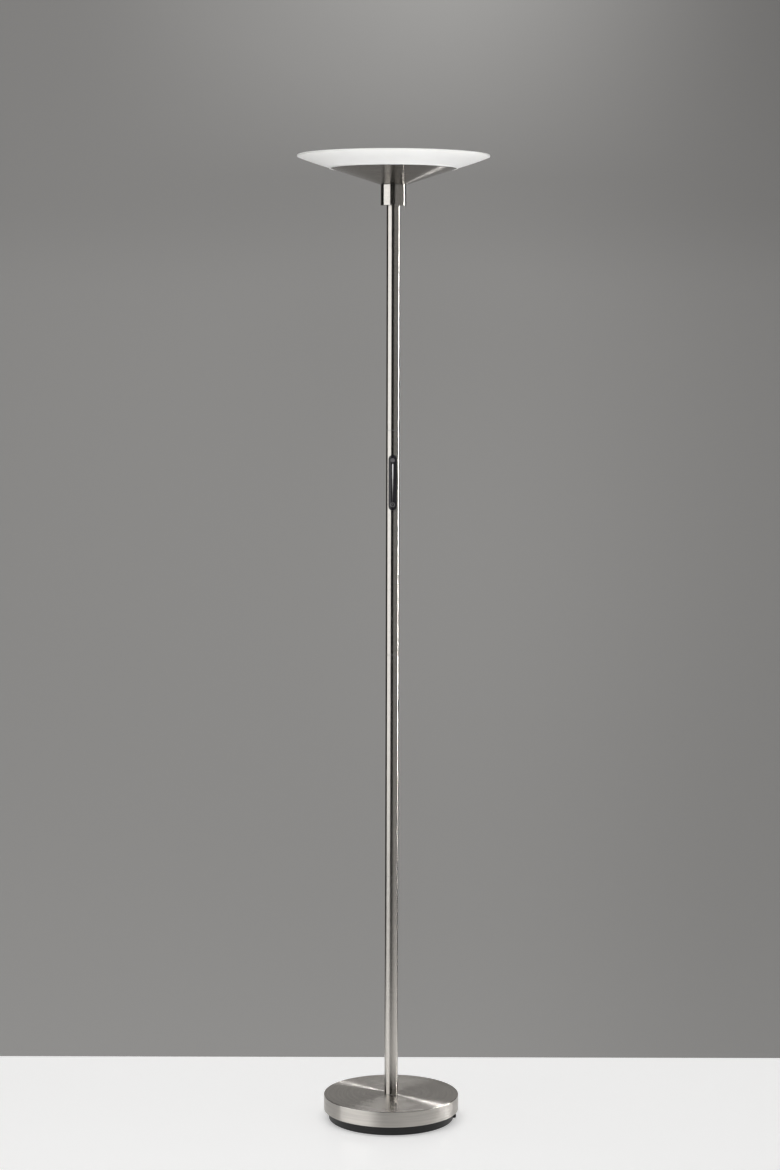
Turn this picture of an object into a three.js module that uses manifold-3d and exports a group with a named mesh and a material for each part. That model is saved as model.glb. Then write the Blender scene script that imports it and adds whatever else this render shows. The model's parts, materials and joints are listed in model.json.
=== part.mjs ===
// Torchiere floor lamp: a weighted round base, a pole of four screwed tubes with a touch dimmer
// in its third tube, and a shallow lit head of a spun metal cone and an opal bowl whose lens
// lifts off. Millimetres, +Z up. The origin is the centre of the underside, on the floor.
// The front, where the dimmer faces, looks along -Y.
import * as THREE from 'three';
import { mergeVertices } from 'three/addons/utils/BufferGeometryUtils.js';
import Module from 'manifold-3d';

const wasm = await Module();
wasm.setup();

// ---- driving dimensions -------------------------------------------------------------------
const fitGap = 0.3;              // clearance between any two pieces that seat on each other

const baseDiameter = 254;
const coverHeight = 29;
const coverWall = 1.2;
const coverEdgeRadius = 1.5;
const trayInset = 7.2;           // how far the tray's wall stands inside the cover's side
const trayDraft = 2.2;           // how far the wall leans in towards its foot
const trayReveal = 17.8;         // height of tray wall that shows under the cover
const trayWall = 2.5;
const traySeat = 2.2;            // thickness of the tray's flange under the cover
const padDiameter = 18;
const padThickness = 1.7;
const padProud = 1;
const padInset = 19.8;
const padCount = 4;
const bossInset = 41.8;
const bossRadius = 7;
const bossHeadDepth = 7;
const bossCount = 3;
const ballastThickness = 16;
const ballastInset = 7.8;
const ballastHoleDepth = 12;

const rodRadius = 5;             // hollow threaded rod at both ends of the pole
const rodBore = 3.2;
const nutAcrossFlats = 17;
const nutHeight = 5.7;
const washerThickness = 1.5;
const baseWasherRadius = 14;
const rodTail = 1;               // rod standing out of its nut
const rodEngagement = 28;        // rod held in the plug of a tube end

const tubeDiameter = 25.4;
const tubeWall = 1.2;
const tubeLength = 417.5;
const tubeCount = 4;
const couplerLength = 44;
const couplerBore = 4.4;
const plugLength = 30;

const dimmerTube = 3;            // counted from the floor
const dimmerTopBelowSeam = 46;
const dimmerLength = 102;
const dimmerWidth = 15;
const dimmerThickness = 2.6;
const dimmerProud = 0.5;
const dimmerBoardMargin = 6;
const dimmerBoardWidth = 12;
const boardThickness = 1.6;
const dimmerChip = { width: 6, height: 14, depth: 1.4 };

const glandAngle = -9;           // degrees from +X, towards the front
const glandHeight = 8.6;         // centre above the tray's underside
const glandRadius = 4.3;
const glandNose = 4.2;
const glandFlange = 1.6;
const glandFlangeRadius = 6;
const cableRadius = 2.2;
const cableBend = 12;
const cableSides = 8;             // a multiple of 4

const collarDiameter = 48;
const collarHeight = 37.5;
const collarWall = 2.5;
const collarOverlap = 6.2;       // length of pole that goes up into the collar
const spacerRadius = 10;
const headWasherRadius = 12;

const coneDiameter = 231;
const coneRise = 30.9;
const coneWall = 1.2;
const pillarCircle = 17;
const pillarRadius = 2.8;
const pillarCount = 3;
const pillarScrewDepth = 8;

const shadeDiameter = 354;
const bowlWall = 3;
const bowlLipDrop = 2.1;         // bead that hangs round the cone's rim
const bowlLipWidth = 2.8;
const bowlFlangeWidth = 16;
const bowlRise = 19.86;          // from the lip out to the rim's underside
const bowlSag = 0.73;            // how far the bowl's curve hangs under a straight line
const bowlSteps = 4;
const rimRadius = 2.2;
const ledgeWidth = 7;
const ledgeInset = 14;
const ledgeRise = 3;
const lensThickness = 2.2;
const lensSag = 0.6;

const plateThickness = 2;
const boardInnerRadius = 26;
const boardMargin = 4;
const ledCount = 20;
const ledSize = 3.4;
const ledHeight = 0.8;
const boardScrewCount = 3;
const boardScrewCircle = 60;
const driverLength = 50;
const driverWidth = 28;
const driverHeight = 11;
const driverOffset = 18.3;
const leadRadius = 1.4;
const leadInset = 10;
const connectorSize = { length: 12, width: 8, height: 3.4 };

const screwRadius = 1.5;
const screwHeadRadius = 2.9;
const screwHeadHeight = 2;
const trayScrewRadius = 1.9;
const trayScrewHeadRadius = 4;
const trayScrewHeadHeight = 2.7;

const bigSegments = 48;
const collarSegments = 36;
const poleSegments = 24;
const smallSegments = 12;

// ---- heights and radii that follow from them ----------------------------------------------
const trayBottom = padProud;
const coverBottom = trayBottom + trayReveal;
const coverTop = coverBottom + coverHeight;
const coverRadius = baseDiameter / 2;
const trayRadius = coverRadius - trayInset;
const trayFootRadius = trayRadius - trayDraft;
const padCircle = trayRadius - padInset;
const bossCircle = trayRadius - bossInset;
const ballastTop = coverTop - coverWall - fitGap;
const ballastBottom = ballastTop - ballastThickness;

const tubeRadius = tubeDiameter / 2;
const tubeBore = tubeRadius - tubeWall;
const plugRadius = tubeBore - fitGap;
const poleBottom = coverTop + fitGap;
const poleTop = poleBottom + tubeCount * tubeLength;
const seamHeight = (index) => poleBottom + index * tubeLength;

const collarRadius = collarDiameter / 2;
const collarBottom = poleTop - collarOverlap;
const collarTop = collarBottom + collarHeight;
const coneBottom = collarTop + fitGap;
const coneTop = coneBottom + coneRise;
const coneRadius = coneDiameter / 2;
const coneFloorTop = coneBottom + coneWall;
const flangeBottom = coneTop + fitGap;
const flangeTop = flangeBottom + bowlWall;
const plateBottom = flangeTop + fitGap;
const plateTop = plateBottom + plateThickness;
const plateRadius = coneRadius;
const boardBottom = plateTop + fitGap;
const boardTop = boardBottom + boardThickness;
const boardRadius = plateRadius - boardMargin;

const bowlStart = coneRadius + fitGap + bowlLipWidth;
const bowlEnd = shadeDiameter / 2;
const bowlSpan = bowlEnd - bowlStart;
const bowlUnderside = (radius) => {
  const share = (radius - bowlStart) / bowlSpan;
  return flangeBottom + share * (bowlRise - 4 * bowlSag * (1 - share));
};
const bowlInside = (radius) => bowlUnderside(radius) + bowlWall * Math.hypot(1, bowlRise / bowlSpan);
const rimTop = bowlUnderside(bowlEnd) + bowlWall;
const ledgeOuter = bowlEnd - ledgeInset;
const ledgeInner = ledgeOuter - ledgeWidth;
const ledgeTop = bowlUnderside(ledgeOuter) + ledgeRise;
const lensRadius = ledgeOuter - fitGap * 2;
const lensBottom = ledgeTop + fitGap;
const driverTop = plateBottom - fitGap;
const driverMiddle = driverTop - driverHeight / 2;
const leadPlace = driverOffset + driverLength - leadInset;

// ---- finishes -------------------------------------------------------------------------------
const finish = (color, roughness, metalness) =>
  new THREE.MeshStandardMaterial({ color, roughness, metalness });
const brushedNickel = finish(0x9a948b, 0.34, 1);
const opalPlastic = finish(0xf1f1ed, 0.45, 0);
const lensPlastic = finish(0xf6f6f3, 0.5, 0);
const blackPlastic = finish(0x232322, 0.5, 0);
const glossBlack = finish(0x2a2928, 0.2, 0);
const castIron = finish(0x3b3a38, 0.8, 1);
const zincSteel = finish(0xb4b5b8, 0.4, 1);
const bareAluminium = finish(0xc6c8ca, 0.45, 1);
const softRubber = finish(0x1c1c1c, 0.9, 0);
const boardLacquer = finish(0xe9eae6, 0.55, 0);
const cableSheath = finish(0x303030, 0.7, 0);

// ---- helpers ----------------------------------------------------------------------------------
const lamp = new THREE.Group();
const onAxis = new THREE.Vector3(0, 0, 0);

function addPiece(name, geometry, material, place = onAxis) {
  const mesh = new THREE.Mesh(geometry, material);
  mesh.name = name;
  mesh.position.copy(place);
  lamp.add(mesh);
}

// A turned solid. The profile lists [radius, height] anticlockwise: out along the bottom, up the
// outside and back in along the top. It closes on itself unless it starts and ends on the axis.
function turned(profile, segments) {
  const points = profile.map(([radius, height]) => new THREE.Vector2(radius, height));
  if (profile[0][0] > 0) {
    points.push(points[0].clone());
  }
  const geometry = new THREE.LatheGeometry(points, segments);
  geometry.rotateX(Math.PI / 2);
  return geometry;
}

function sleeve(inner, outer, bottom, top, segments) {
  return turned([[inner, bottom], [outer, bottom], [outer, top], [inner, top]], segments);
}

function disc(radius, bottom, top, segments) {
  return turned([[0, bottom], [radius, bottom], [radius, top], [0, top]], segments);
}

function arc(centreRadius, centreHeight, radius, from, to, steps) {
  const points = [];
  for (let step = 0; step <= steps; step += 1) {
    const angle = THREE.MathUtils.degToRad(from + (to - from) * step / steps);
    points.push([centreRadius + radius * Math.cos(angle), centreHeight + radius * Math.sin(angle)]);
  }
  return points;
}

function asSolid(geometry) {
  const bare = geometry.clone();
  bare.deleteAttribute('normal');
  bare.deleteAttribute('uv');
  const merged = mergeVertices(bare);
  return new wasm.Manifold(new wasm.Mesh({
    numProp: 3,
    vertProperties: new Float32Array(merged.attributes.position.array),
    triVerts: new Uint32Array(merged.index.array),
  }));
}

function asGeometry(solid) {
  const mesh = solid.getMesh();
  const geometry = new THREE.BufferGeometry();
  geometry.setAttribute('position', new THREE.BufferAttribute(mesh.vertProperties, 3));
  geometry.setIndex(new THREE.BufferAttribute(mesh.triVerts, 1));
  geometry.computeVertexNormals();
  return geometry;
}

function cut(body, tools) {
  return asGeometry(tools.reduce((solid, tool) => solid.subtract(asSolid(tool)), asSolid(body)));
}

function join(body, others) {
  return asGeometry(others.reduce((solid, other) => solid.add(asSolid(other)), asSolid(body)));
}

function around(count, circle, firstAngle = 0) {
  return Array.from({ length: count }, (unused, index) => {
    const angle = THREE.MathUtils.degToRad(firstAngle) + index * 2 * Math.PI / count;
    return new THREE.Vector3(circle * Math.cos(angle), circle * Math.sin(angle), 0);
  });
}

function moved(geometry, place) {
  return geometry.clone().translate(place.x, place.y, place.z);
}

function hexNut(bottom) {
  const cornerRadius = nutAcrossFlats / Math.sqrt(3);
  const corners = around(6, cornerRadius).map((corner) => new THREE.Vector2(corner.x, corner.y));
  const outline = new THREE.Shape(corners);
  outline.holes.push(new THREE.Path().absarc(0, 0, rodRadius + fitGap, 0, 2 * Math.PI, true));
  const depth = nutHeight;
  const geometry = new THREE.ExtrudeGeometry(outline, { depth, bevelEnabled: false, curveSegments: 8 });
  return geometry.translate(0, 0, bottom);
}

// A screw that points up, with the underside of its head at height 0.
function screw(shankRadius, length, headRadius, headHeight) {
  return turned([
    [0, -headHeight],
    [headRadius * 0.8, -headHeight],
    [headRadius, -headHeight * 0.6],
    [headRadius, 0],
    [shankRadius, 0],
    [shankRadius, length],
    [0, length],
  ], smallSegments);
}

// ---- base -----------------------------------------------------------------------------------
function baseCover() {
  const centre = coverRadius - coverEdgeRadius;
  const hole = rodRadius + fitGap;
  return turned([
    [coverRadius - coverWall, coverBottom],
    [coverRadius, coverBottom],
    ...arc(centre, coverTop - coverEdgeRadius, coverEdgeRadius, 0, 90, 3),
    [hole, coverTop],
    [hole, coverTop - coverWall],
    [coverRadius - coverWall, coverTop - coverWall],
  ], bigSegments);
}

function baseBallast(screwPlaces) {
  const body = sleeve(rodRadius + fitGap, coverRadius - ballastInset, ballastBottom, ballastTop, bigSegments);
  const holeBottom = ballastBottom - 1;
  const holeTop = ballastBottom + ballastHoleDepth;
  const hole = disc(trayScrewRadius + fitGap, holeBottom, holeTop, smallSegments);
  return cut(body, screwPlaces.map((place) => moved(hole, place)));
}

function baseTray(screwPlaces, padPlaces) {
  const flangeBase = coverBottom + fitGap;
  const flangeRadius = coverRadius - coverWall - fitGap * 2;
  const shell = turned([
    [0, trayBottom],
    [trayFootRadius, trayBottom],
    [trayRadius, flangeBase],
    [flangeRadius, flangeBase],
    [flangeRadius, flangeBase + traySeat],
    [trayRadius - trayWall, flangeBase + traySeat],
    [trayFootRadius - trayWall, trayBottom + trayWall],
    [0, trayBottom + trayWall],
  ], bigSegments);
  const boss = disc(bossRadius, trayBottom + trayWall / 2, ballastBottom - fitGap, smallSegments);
  const shaft = disc(trayScrewRadius + fitGap, trayBottom - 1, ballastBottom, smallSegments);
  const headRoom = disc(trayScrewHeadRadius + fitGap, trayBottom - 1, trayBottom + bossHeadDepth, smallSegments);
  const pocketTop = padThickness + fitGap;
  const pocket = disc(padDiameter / 2 + fitGap, trayBottom - 1, pocketTop, smallSegments);
  const glandHole = outward(disc(glandRadius + fitGap, trayFootRadius - 2 * trayWall, trayRadius + trayWall, smallSegments));
  const holes = [glandHole];
  screwPlaces.forEach((place) => holes.push(moved(shaft, place), moved(headRoom, place)));
  padPlaces.forEach((place) => holes.push(moved(pocket, place)));
  const bosses = screwPlaces.map((place) => moved(boss, place));
  return cut(join(shell, bosses), holes);
}

// Lays a piece turned about Z on its side, so that its axis runs out through the tray's wall.
function outward(geometry) {
  return geometry
    .rotateY(Math.PI / 2)
    .translate(0, 0, trayBottom + glandHeight)
    .rotateZ(THREE.MathUtils.degToRad(glandAngle));
}

function cordGland() {
  const bore = cableRadius + fitGap;
  const wallInside = trayFootRadius - trayWall - fitGap * 2;
  return outward(turned([
    [bore, wallInside - glandFlange],
    [glandFlangeRadius, wallInside - glandFlange],
    [glandFlangeRadius, wallInside],
    [glandRadius, wallInside],
    [glandRadius, trayRadius + glandNose * 0.6],
    [glandRadius * 0.8, trayRadius + glandNose],
    [bore, trayRadius + glandNose],
  ], smallSegments));
}

function addBase() {
  const padPlaces = around(padCount, padCircle);
  const screwPlaces = around(bossCount, bossCircle, 30);
  const screwBottom = trayBottom + bossHeadDepth;
  const screwLength = ballastBottom + ballastHoleDepth - fitGap * 4 - screwBottom;
  padPlaces.forEach((place, index) => {
    addPiece(`foot_pad_${index + 1}`, disc(padDiameter / 2, 0, padThickness, smallSegments), softRubber, place);
  });
  addPiece('base_tray', baseTray(screwPlaces, padPlaces), blackPlastic);
  addPiece('base_ballast', baseBallast(screwPlaces), castIron);
  addPiece('base_cover', baseCover(), brushedNickel);
  addPiece('cord_gland', cordGland(), softRubber);
  screwPlaces.forEach((place, index) => {
    const head = new THREE.Vector3(place.x, place.y, screwBottom - fitGap);
    const shape = screw(trayScrewRadius, screwLength, trayScrewHeadRadius, trayScrewHeadHeight);
    addPiece(`tray_screw_${index + 1}`, shape, zincSteel, head);
  });
  const washerTop = ballastBottom - fitGap;
  const nutTop = washerTop - washerThickness - fitGap;
  const nutBottom = nutTop - nutHeight;
  const bore = rodRadius + fitGap;
  addPiece('base_washer', sleeve(bore, baseWasherRadius, nutTop + fitGap, washerTop, poleSegments), zincSteel);
  addPiece('base_nut', hexNut(nutBottom), zincSteel);
  const rodTop = poleBottom + rodEngagement;
  addPiece('base_rod', sleeve(rodBore, rodRadius, nutBottom - rodTail, rodTop, smallSegments), zincSteel);
}

// ---- pole -----------------------------------------------------------------------------------
function poleTube(index) {
  const bottom = seamHeight(index - 1);
  const tube = sleeve(tubeBore, tubeRadius, bottom, bottom + tubeLength - fitGap, poleSegments);
  return index === dimmerTube ? cut(tube, [dimmerOutline(fitGap, tubeRadius)]) : tube;
}

const dimmerMiddle = seamHeight(dimmerTube) - dimmerTopBelowSeam - dimmerLength / 2;

// The dimmer's round-ended outline, grown by a margin and extruded from the axis to the front.
function dimmerOutline(margin, depth) {
  const radius = dimmerWidth / 2 + margin;
  const reach = dimmerLength / 2 - dimmerWidth / 2;
  const outline = new THREE.Shape();
  outline.absarc(0, reach, radius, 0, Math.PI, false);
  outline.absarc(0, -reach, radius, Math.PI, 2 * Math.PI, false);
  outline.closePath();
  const settings = { depth: depth + tubeWall, bevelEnabled: false, curveSegments: 10 };
  const block = new THREE.ExtrudeGeometry(outline, settings);
  return block.rotateX(Math.PI / 2).translate(0, 0, dimmerMiddle);
}

function dimmerPlate() {
  const outer = tubeRadius + dimmerProud;
  const low = dimmerMiddle - dimmerLength;
  const high = dimmerMiddle + dimmerLength;
  const skin = sleeve(outer - dimmerThickness, outer, low, high, poleSegments * 2);
  return asGeometry(asSolid(skin).intersect(asSolid(dimmerOutline(0, tubeRadius + dimmerProud))));
}

const dimmerBoardFront = Math.sqrt(
  (tubeRadius + dimmerProud - dimmerThickness - fitGap) ** 2 - (dimmerBoardWidth / 2) ** 2,
) - fitGap;
const dimmerBoardBack = dimmerBoardFront - boardThickness;

function dimmerBoard() {
  const length = dimmerLength - 2 * dimmerBoardMargin;
  const board = new THREE.BoxGeometry(dimmerBoardWidth, boardThickness, length);
  board.translate(0, -(dimmerBoardFront + dimmerBoardBack) / 2, dimmerMiddle);
  const chip = new THREE.BoxGeometry(dimmerChip.width, dimmerChip.depth * 2, dimmerChip.height);
  chip.translate(0, -dimmerBoardBack, dimmerMiddle + length / 4);
  return join(board, [chip]);
}

function dimmerLead() {
  const near = cableRadius + fitGap;
  const far = dimmerBoardBack - fitGap;
  const lead = disc(leadRadius, near, far, smallSegments);
  return lead.rotateX(Math.PI / 2).translate(0, 0, dimmerMiddle - dimmerLength / 4);
}

function addPole() {
  for (let index = 1; index <= tubeCount; index += 1) {
    addPiece(`pole_tube_${index}`, poleTube(index), brushedNickel);
  }
  for (let index = 1; index < tubeCount; index += 1) {
    const middle = seamHeight(index);
    const shape = sleeve(couplerBore, plugRadius, middle - couplerLength / 2, middle + couplerLength / 2, poleSegments);
    addPiece(`pole_coupler_${index}`, shape, zincSteel);
  }
  const bore = rodRadius + fitGap;
  addPiece('foot_plug', sleeve(bore, plugRadius, poleBottom, poleBottom + plugLength, poleSegments), zincSteel);
  addPiece('head_plug', sleeve(bore, plugRadius, poleTop - plugLength, poleTop - fitGap, poleSegments), zincSteel);
  addPiece('dimmer_plate', dimmerPlate(), glossBlack);
  addPiece('dimmer_board', dimmerBoard(), boardLacquer);
  addPiece('dimmer_lead', dimmerLead(), cableSheath);
}

// ---- cable held inside the lamp --------------------------------------------------------------
function cableStretch(points, steps) {
  const outline = new THREE.Shape();
  outline.absarc(0, 0, cableRadius, 0, 2 * Math.PI, false);
  const extrudePath = new THREE.CatmullRomCurve3(points);
  const settings = { steps, bevelEnabled: false, curveSegments: cableSides / 2, extrudePath };
  return new THREE.ExtrudeGeometry(outline, settings);
}

// A quarter bend in the XZ plane between an upright stretch on the axis and a level one.
function quarterBend(level, side, tail) {
  const points = arc(cableBend, 0, cableBend, 180, 90, 6).map(([across, up]) =>
    new THREE.Vector3(across, 0, level + side * (cableBend - up)));
  points.unshift(new THREE.Vector3(0, 0, level + side * (cableBend + 4)));
  points.push(new THREE.Vector3(tail, 0, level));
  return points;
}

function innerCable() {
  const glandLevel = trayBottom + glandHeight;
  const glandEnd = trayRadius + glandNose / 2;
  const foot = cableStretch(quarterBend(glandLevel, 1, glandEnd), 28);
  foot.rotateZ(THREE.MathUtils.degToRad(glandAngle));
  const head = cableStretch(quarterBend(driverMiddle, -1, driverOffset - fitGap), 12);
  const riserBottom = glandLevel + cableBend + 2;
  const riserTop = driverMiddle - cableBend - 2;
  const riser = disc(cableRadius, riserBottom, riserTop, cableSides);
  return join(foot, [riser, head]);
}

// ---- head -----------------------------------------------------------------------------------
function collar() {
  return turned([
    [tubeRadius + fitGap, collarBottom],
    [collarRadius, collarBottom],
    [collarRadius, collarTop],
    [collarRadius - collarWall, collarTop],
    [collarRadius - collarWall, collarBottom + collarWall],
    [tubeRadius + fitGap, collarBottom + collarWall],
  ], collarSegments);
}

function shadeCone() {
  const slope = coneRise / (coneRadius - collarRadius);
  const thickness = coneWall * Math.hypot(1, slope);
  const floorEdge = collarRadius + (coneWall - thickness) / slope;
  const hole = rodRadius + fitGap;
  return turned([
    [hole, coneBottom],
    [collarRadius, coneBottom],
    [coneRadius, coneTop - coneWall],
    [coneRadius, coneTop],
    [coneRadius - coneWall * 2, coneTop],
    [floorEdge, coneFloorTop],
    [hole, coneFloorTop],
  ], bigSegments);
}

function bowlCurve(from, to, height) {
  const points = [];
  for (let step = 0; step <= bowlSteps; step += 1) {
    const radius = from + (to - from) * step / bowlSteps;
    points.push([radius, height(radius)]);
  }
  return points;
}

function opalBowl() {
  const flangeInner = coneRadius - bowlFlangeWidth;
  const lipInner = coneRadius + fitGap;
  const lipBottom = flangeBottom - bowlLipDrop;
  const lipMiddle = (lipInner + bowlStart) / 2;
  const lipRadius = (bowlStart - lipInner) / 2;
  const rimCentre = bowlEnd - rimRadius;
  const rimHeight = rimTop - rimRadius;
  const insideStart = coneRadius + fitGap * 2;
  return turned([
    [flangeInner, flangeBottom],
    [lipInner, flangeBottom],
    ...arc(lipMiddle, lipBottom + lipRadius, lipRadius, 180, 360, 3),
    ...bowlCurve(bowlStart, rimCentre, bowlUnderside),
    ...arc(rimCentre, rimHeight, rimRadius, -60, 120, 3),
    [ledgeOuter, rimTop - bowlWall / 2],
    [ledgeOuter, ledgeTop],
    [ledgeInner, ledgeTop],
    ...bowlCurve(ledgeInner - fitGap, insideStart + bowlWall, bowlInside),
    [insideStart, flangeTop],
    [flangeInner, flangeTop],
  ], bigSegments);
}

function topLens() {
  return turned([
    [0, lensBottom - lensSag],
    [ledgeInner - 2 * fitGap, lensBottom - lensSag],
    [ledgeInner, lensBottom],
    [lensRadius, lensBottom],
    [lensRadius, lensBottom + lensThickness - lensSag],
    [lensRadius - lensSag, lensBottom + lensThickness],
    [0, lensBottom + lensThickness],
  ], bigSegments);
}

function carrierPlate(screwPlaces, boardScrewPlaces) {
  const body = disc(plateRadius, plateBottom, plateTop, bigSegments);
  const hole = disc(screwRadius + fitGap, plateBottom - 1, plateTop + 1, smallSegments);
  const leadHole = disc(leadRadius + fitGap, plateBottom - 1, plateTop + 1, smallSegments);
  const holes = screwPlaces.concat(boardScrewPlaces).map((place) => moved(hole, place));
  return cut(body, [...holes, moved(leadHole, new THREE.Vector3(leadPlace, 0, 0))]);
}

function ledBoard(boardScrewPlaces) {
  const body = sleeve(boardInnerRadius, boardRadius, boardBottom, boardTop, bigSegments);
  const chip = new THREE.BoxGeometry(ledSize, ledSize, ledHeight * 2);
  const ledCircle = (boardInnerRadius + boardRadius) / 2 + boardScrewCircle / 6;
  const chips = around(ledCount, ledCircle, 180 / ledCount).map((place) => {
    const turn = Math.atan2(place.y, place.x);
    return chip.clone().rotateZ(turn).translate(place.x, place.y, boardTop);
  });
  const hole = disc(screwRadius + fitGap, boardBottom - 1, boardTop + 1, smallSegments);
  const leadHole = disc(leadRadius + fitGap, boardBottom - 1, boardTop + 1, smallSegments);
  const holes = boardScrewPlaces.map((place) => moved(hole, place));
  return cut(join(body, chips), [...holes, moved(leadHole, new THREE.Vector3(leadPlace, 0, 0))]);
}

function pillar() {
  const body = disc(pillarRadius, coneFloorTop + fitGap, plateBottom - fitGap, smallSegments);
  const hole = disc(screwRadius + fitGap, plateBottom - pillarScrewDepth, plateBottom + 1, smallSegments);
  return cut(body, [hole]);
}

function addScrewDown(name, place, seat, length) {
  const shape = screw(screwRadius, length, screwHeadRadius, screwHeadHeight).rotateX(Math.PI);
  addPiece(name, shape, zincSteel, new THREE.Vector3(place.x, place.y, seat + fitGap));
}

function addNeck() {
  const bore = rodRadius + fitGap;
  const washerBottom = coneFloorTop + fitGap;
  const nutBottom = washerBottom + washerThickness + fitGap;
  const rodTop = nutBottom + nutHeight + rodTail;
  addPiece('neck_collar', collar(), brushedNickel);
  addPiece('neck_spacer', sleeve(bore, spacerRadius, poleTop + fitGap, collarTop, poleSegments), zincSteel);
  addPiece('neck_rod', sleeve(rodBore, rodRadius, poleTop - rodEngagement, rodTop, smallSegments), zincSteel);
  addPiece('neck_washer', sleeve(bore, headWasherRadius, washerBottom, nutBottom - fitGap, poleSegments), zincSteel);
  addPiece('neck_nut', hexNut(nutBottom), zincSteel);
}

function addHead() {
  const pillarPlaces = around(pillarCount, pillarCircle, 60);
  const boardScrewPlaces = around(boardScrewCount, boardScrewCircle, 60);
  addPiece('shade_cone', shadeCone(), brushedNickel);
  addPiece('shade_bowl', opalBowl(), opalPlastic);
  addPiece('carrier_plate', carrierPlate(pillarPlaces, boardScrewPlaces), bareAluminium);
  addPiece('led_board', ledBoard(boardScrewPlaces), boardLacquer);
  pillarPlaces.forEach((place, index) => {
    addPiece(`plate_pillar_${index + 1}`, moved(pillar(), place), zincSteel);
    addScrewDown(`pillar_screw_${index + 1}`, place, plateTop, pillarScrewDepth);
  });
  boardScrewPlaces.forEach((place, index) => {
    addScrewDown(`board_screw_${index + 1}`, place, boardTop, boardThickness + plateThickness);
  });
  const driverPlace = new THREE.Vector3(driverOffset + driverLength / 2, 0, driverMiddle);
  addPiece('led_driver', new THREE.BoxGeometry(driverLength, driverWidth, driverHeight), blackPlastic, driverPlace);
  addPiece('led_lead', disc(leadRadius, plateBottom, boardTop, smallSegments), cableSheath,
    new THREE.Vector3(leadPlace, 0, 0));
  const { length, width, height } = connectorSize;
  addPiece('board_connector', new THREE.BoxGeometry(length, width, height), blackPlastic,
    new THREE.Vector3(leadPlace, 0, boardTop + fitGap + height / 2));
  addPiece('top_lens', topLens(), lensPlastic);
}

addBase();
addPole();
addPiece('inner_cable', innerCable(), cableSheath);
addNeck();
addHead();

export default lamp;
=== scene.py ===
# %% [markdown]
# # A torchiere floor lamp
# A torchiere throws its light up at the ceiling from a shallow head on a tall pole. This lesson
# builds the visible skin of one: brushed metal, an opal bowl and a black touch dimmer. The
# mechanical model is loaded first and gives every place and size, so nothing is fitted by eye.

# %% Load the mechanical model
import json
import math

import bmesh
import bpy
from mathutils import Matrix, Vector


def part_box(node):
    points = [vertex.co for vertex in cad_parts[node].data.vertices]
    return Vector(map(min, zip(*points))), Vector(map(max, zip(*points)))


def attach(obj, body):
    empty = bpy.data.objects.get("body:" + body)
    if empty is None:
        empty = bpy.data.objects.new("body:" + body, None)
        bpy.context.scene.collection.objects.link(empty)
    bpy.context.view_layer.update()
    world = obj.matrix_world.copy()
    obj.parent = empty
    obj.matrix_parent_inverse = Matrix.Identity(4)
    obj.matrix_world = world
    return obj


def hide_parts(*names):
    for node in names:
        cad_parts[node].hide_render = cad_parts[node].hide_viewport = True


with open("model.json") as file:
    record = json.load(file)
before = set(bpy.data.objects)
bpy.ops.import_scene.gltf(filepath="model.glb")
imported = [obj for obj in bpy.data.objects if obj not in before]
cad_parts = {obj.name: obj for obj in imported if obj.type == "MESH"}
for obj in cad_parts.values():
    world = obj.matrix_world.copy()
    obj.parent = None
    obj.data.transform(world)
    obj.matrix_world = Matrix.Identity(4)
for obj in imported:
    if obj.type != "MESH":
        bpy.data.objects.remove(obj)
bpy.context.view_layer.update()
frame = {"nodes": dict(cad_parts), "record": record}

nodes = frame["nodes"]
scene = bpy.context.scene


def top(node):
    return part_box(node)[1].z


def bottom(node):
    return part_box(node)[0].z


def reach(node):
    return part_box(node)[1].x


print("mechanical nodes:", len(nodes))

# %% [markdown]
# ## Camera
# The lamp is seen from a standing person's height, about five metres away through a long lens,
# which keeps the round base and head nearly flat. The camera looks down a little, and the pole
# leans a hair to the right as a screwed pole does.

# %% Camera
CAMERA_PLACE = Vector((-0.0045, -4.880, 1.4578))
CAMERA_PITCH = math.radians(5.21)
CAMERA_ROLL = math.radians(0.147)
LENS_MM = 81.1


def add_camera():
    lens = bpy.data.cameras.new("camera")
    lens.lens = LENS_MM
    lens.sensor_width = 36.0
    camera = bpy.data.objects.new("camera", lens)
    scene.collection.objects.link(camera)
    turn = Matrix.Rotation(math.pi / 2 - CAMERA_PITCH, 4, "X") @ Matrix.Rotation(CAMERA_ROLL, 4, "Z")
    camera.matrix_world = Matrix.Translation(CAMERA_PLACE) @ turn
    scene.camera = camera
    return camera


camera = add_camera()
scene.view_settings.view_transform = "Standard"
print("camera at", [round(c, 3) for c in camera.matrix_world.translation])

# %% [markdown]
# ## Writing shader maths as arithmetic
# A material's pattern is a small calculation at each point of the surface. Wrapping a node's
# socket in a class with the usual operators lets the calculation read as one line of maths, and
# each operator adds the Math node that does it.


# %% A socket that can be added, multiplied and compared
class Wire:
    def __init__(self, finish, socket):
        self.finish = finish
        self.socket = socket

    def math(self, operation, first, *others):
        values = dict(enumerate((first, *others)))
        return self.finish.node("ShaderNodeMath", {"operation": operation}, values)

    def __add__(self, other):
        return self.math("ADD", self, other)

    def __sub__(self, other):
        return self.math("SUBTRACT", self, other)

    def __mul__(self, other):
        return self.math("MULTIPLY", self, other)

    def __truediv__(self, other):
        return self.math("DIVIDE", self, other)

    def __pow__(self, other):
        return self.math("POWER", self, other)

    def __rsub__(self, other):
        return self.math("SUBTRACT", other, self)

    __radd__ = __add__
    __rmul__ = __mul__

    def at_least(self, low):
        return self.math("MAXIMUM", self, low)

    def at_most(self, high):
        return self.math("MINIMUM", self, high)

    def smooth_step(self, low, high):
        settings = {"interpolation_type": "SMOOTHSTEP"}
        return self.finish.node("ShaderNodeMapRange", settings, {"Value": self, 1: low, 2: high})


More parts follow.
